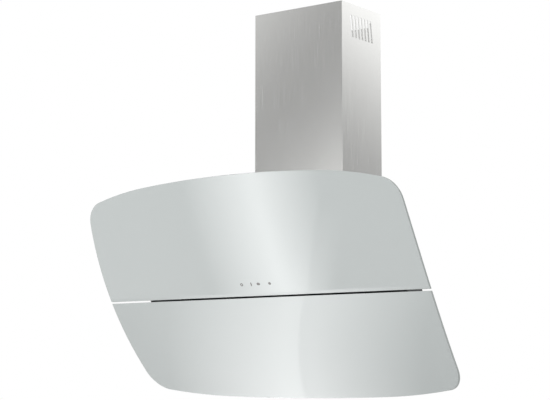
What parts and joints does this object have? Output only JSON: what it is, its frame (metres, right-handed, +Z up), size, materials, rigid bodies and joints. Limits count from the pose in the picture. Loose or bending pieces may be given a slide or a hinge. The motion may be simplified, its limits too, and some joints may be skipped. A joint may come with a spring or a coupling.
{
  "type": "range hood",
  "caption": "Angled wall range hood with two bent glass panels, an opening lower panel, a grease filter, a blower and a brushed chimney cover",
  "frame": {"origin": "centre of the four wall holes, on the plane of the wall", "axes": "+X to the right seen from the front, +Y into the wall, +Z up"},
  "size_m": [0.9, 0.439, 0.928],
  "materials": {
    "front_glass": "gloss, back-painted pale silver",
    "stainless": "vertically brushed",
    "casing_paint": "satin black",
    "housing_steel": "satin grey",
    "zinc_steel": "zinc plated",
    "filter_metal": "satin",
    "black_plastic": "matt",
    "grey_plastic": "moulded",
    "motor_metal": "satin",
    "bush_rubber": "matt",
    "capacitor_can": "moulded",
    "board_green": "solder mask",
    "lamp_chrome": "polished",
    "lamp_glass": "frosted",
    "heat_sink": "cast"
  },
  "bodies": {
    "hood": {"upper_glass": "front_glass", "front_casing": "casing_paint", "casing_back": "casing_paint", "filter_rim": "casing_paint", "filter_frame": "filter_metal", "latch_cover": "black_plastic", "filter_grille": "filter_metal", "upper_rib_left": "zinc_steel", "hinge_bracket_left": "zinc_steel", "scroll_left": "grey_plastic", "upper_rib_right": "zinc_steel", "hinge_bracket_right": "zinc_steel", "scroll_right": "grey_plastic", "rib_screws": "zinc_steel", "hinge_pins": "zinc_steel", "magnet_catches": "black_plastic", "control_housing": "black_plastic", "touch_board": "board_green", "rear_housing": "housing_steel", "back_plate": "housing_steel", "lamp_bezels": "lamp_chrome", "lamp_lenses": "lamp_glass", "lamp_bodies": "heat_sink", "scroll_screws": "zinc_steel", "motor": "motor_metal", "motor_bracket": "zinc_steel", "motor_bushes": "bush_rubber", "control_box": "black_plastic", "control_lid": "black_plastic", "capacitor": "capacitor_can", "capacitor_clip": "zinc_steel", "cable_gland": "black_plastic", "outlet_collar": "grey_plastic", "chimney_cover": "stainless", "chimney_bracket": "zinc_steel", "chimney_clips": "zinc_steel"},
    "door": {"lower_glass": "front_glass", "door_rail_left": "zinc_steel", "door_rail_right": "zinc_steel", "door_crossbar": "zinc_steel"},
    "fan": {"impeller": "grey_plastic", "motor_shaft": "zinc_steel"},
    "flap_front": {"flap_front": "grey_plastic"},
    "flap_rear": {"flap_rear": "grey_plastic"},
    "latch": {"filter_latch": "black_plastic"}
  },
  "joints": [
    {"name": "door_hinge", "type": "hinge", "parent": "hood", "child": "door", "pos_m": [0, -0.14152, -0.22935], "axis": [1, 0, 0], "range_deg": [0, 55]},
    {"name": "fan_spin", "type": "hinge", "parent": "hood", "child": "fan", "pos_m": [0, -0.112, -0.015], "axis": [1, 0, 0], "continuous": true},
    {"name": "flap_front_swing", "type": "hinge", "parent": "hood", "child": "flap_front", "pos_m": [0, -0.088, 0.177], "axis": [-1, 0, 0], "range_deg": [0, 80]},
    {"name": "flap_rear_swing", "type": "hinge", "parent": "hood", "child": "flap_rear", "pos_m": [0, -0.078, 0.177], "axis": [1, 0, 0], "range_deg": [0, 80]},
    {"name": "latch_slide", "type": "slide", "parent": "hood", "child": "latch", "axis": [0, 0.521, -0.8536], "range_m": [0, 0.005], "stiffness_N_per_m": 400, "springref_m": -0.005}
  ]
}
